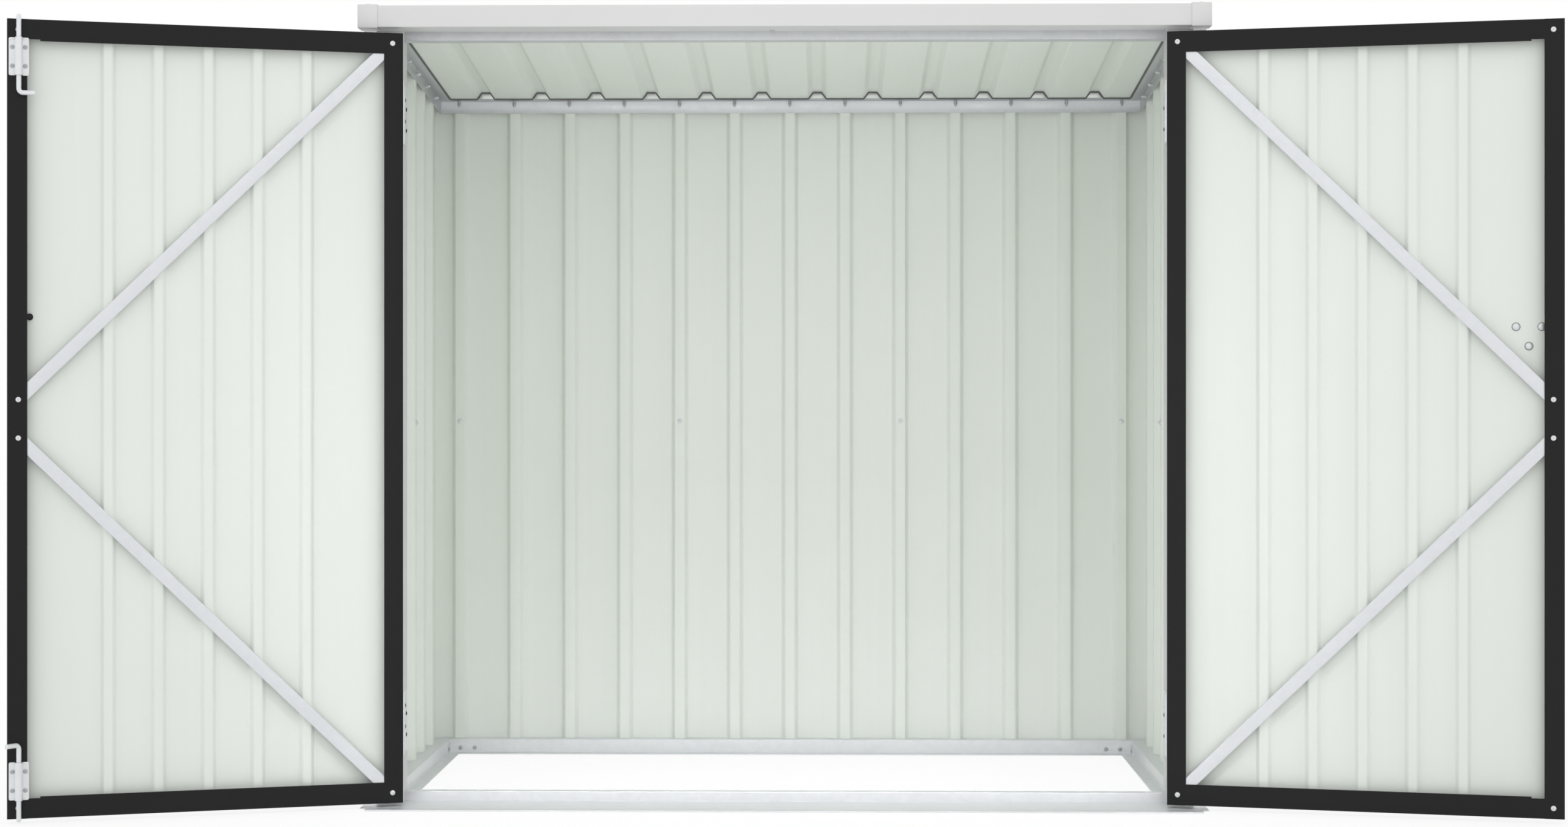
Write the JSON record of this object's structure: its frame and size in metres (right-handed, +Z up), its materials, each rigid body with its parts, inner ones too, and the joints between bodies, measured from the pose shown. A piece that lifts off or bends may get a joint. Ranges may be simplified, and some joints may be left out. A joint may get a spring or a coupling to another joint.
{
  "type": "garden tool cabinet",
  "caption": "Lean-to metal garden tool cabinet of ribbed sheet on folded rails, with braced double doors, tower bolts and a sliding latch; open floor.",
  "frame": {"origin": "on the ground under the middle of the threshold plate, on the cabinet's centre plane", "axes": "+Z up, +Y from the doors to the rear wall, +X to the right as one faces the doors"},
  "size_m": [2.8778, 1.0794, 1.542],
  "materials": {
    "wall_sheet": "satin",
    "door_sheet": "satin",
    "door_frame": "satin",
    "brace": "galvanised",
    "trim": "satin",
    "cap": "moulded",
    "dark_screw": "black",
    "galvanised": "galvanised",
    "latch": "black",
    "zinc": "zinc plated"
  },
  "bodies": {
    "cabinet": {"front_base_rail": "galvanised", "rear_base_rail": "galvanised", "left_base_rail": "galvanised", "right_base_rail": "galvanised", "left_corner_bracket": "galvanised", "right_corner_bracket": "galvanised", "front_left_panel": "wall_sheet", "front_right_panel": "wall_sheet", "rear_left_panel": "wall_sheet", "rear_right_panel": "wall_sheet", "back_left_sheet": "wall_sheet", "back_centre_sheet": "wall_sheet", "back_right_sheet": "wall_sheet", "panel_screws": "zinc", "header_rail": "galvanised", "rear_top_rail": "galvanised", "left_top_rail": "galvanised", "right_top_rail": "galvanised", "rail_screws": "zinc", "roof_sheet": "wall_sheet", "roof_screws": "zinc", "front_fascia": "trim", "left_side_trim": "trim", "right_side_trim": "trim", "left_corner_cap": "cap", "right_corner_cap": "cap", "left_jamb_leaves": "zinc", "right_jamb_leaves": "zinc", "left_hinge_pins": "zinc", "right_hinge_pins": "zinc", "hinge_screws": "dark_screw"},
    "left_door": {"left_hinge_stile": "door_frame", "left_free_stile": "door_frame", "left_top_bar": "door_frame", "left_bottom_bar": "door_frame", "left_door_sheet": "door_sheet", "left_upper_brace": "brace", "left_lower_brace": "brace", "left_door_screws": "zinc", "left_door_leaves": "zinc", "top_bolt_housing": "zinc", "bottom_bolt_housing": "zinc", "latch_keeper": "latch"},
    "right_door": {"right_hinge_stile": "door_frame", "right_free_stile": "door_frame", "right_top_bar": "door_frame", "right_bottom_bar": "door_frame", "right_door_sheet": "door_sheet", "right_upper_brace": "brace", "right_lower_brace": "brace", "right_door_screws": "zinc", "right_door_leaves": "zinc", "latch_plate": "latch", "latch_bolts": "latch"},
    "top_bolt_ring": {"top_bolt_ring": "zinc"},
    "top_bolt_rod": {"top_bolt_rod": "zinc"},
    "bottom_bolt_ring": {"bottom_bolt_ring": "zinc"},
    "bottom_bolt_rod": {"bottom_bolt_rod": "zinc"},
    "latch_bar": {"latch_bar": "latch"}
  },
  "joints": [
    {"name": "left_door_swing", "type": "hinge", "parent": "cabinet", "child": "left_door", "pos_m": [-0.7335, 0.018, 0.745], "axis": [0, 0, -1], "range_deg": [-163, 15]},
    {"name": "right_door_swing", "type": "hinge", "parent": "cabinet", "child": "right_door", "pos_m": [0.7335, 0.018, 0.745], "axis": [0, 0, 1], "range_deg": [-167, 11]},
    {"name": "top_bolt_slide", "type": "slide", "parent": "left_door", "child": "top_bolt_ring", "axis": [0, 0, 1], "range_m": [0, 0.013]},
    {"name": "top_bolt_turn", "type": "hinge", "parent": "top_bolt_ring", "child": "top_bolt_rod", "pos_m": [-1.40287, -0.22272, 1.413], "axis": [0, 0, -1], "range_deg": [0, 170]},
    {"name": "bottom_bolt_slide", "type": "slide", "parent": "left_door", "child": "bottom_bolt_ring", "axis": [0, 0, -1], "range_m": [0, 0.013]},
    {"name": "bottom_bolt_turn", "type": "hinge", "parent": "bottom_bolt_ring", "child": "bottom_bolt_rod", "pos_m": [-1.40287, -0.22272, 0.078], "axis": [0, 0, 1], "range_deg": [-40, 130]},
    {"name": "latch_slide", "type": "slide", "parent": "right_door", "child": "latch_bar", "axis": [0.9744, -0.225, 0], "range_m": [0, 0.028]}
  ]
}
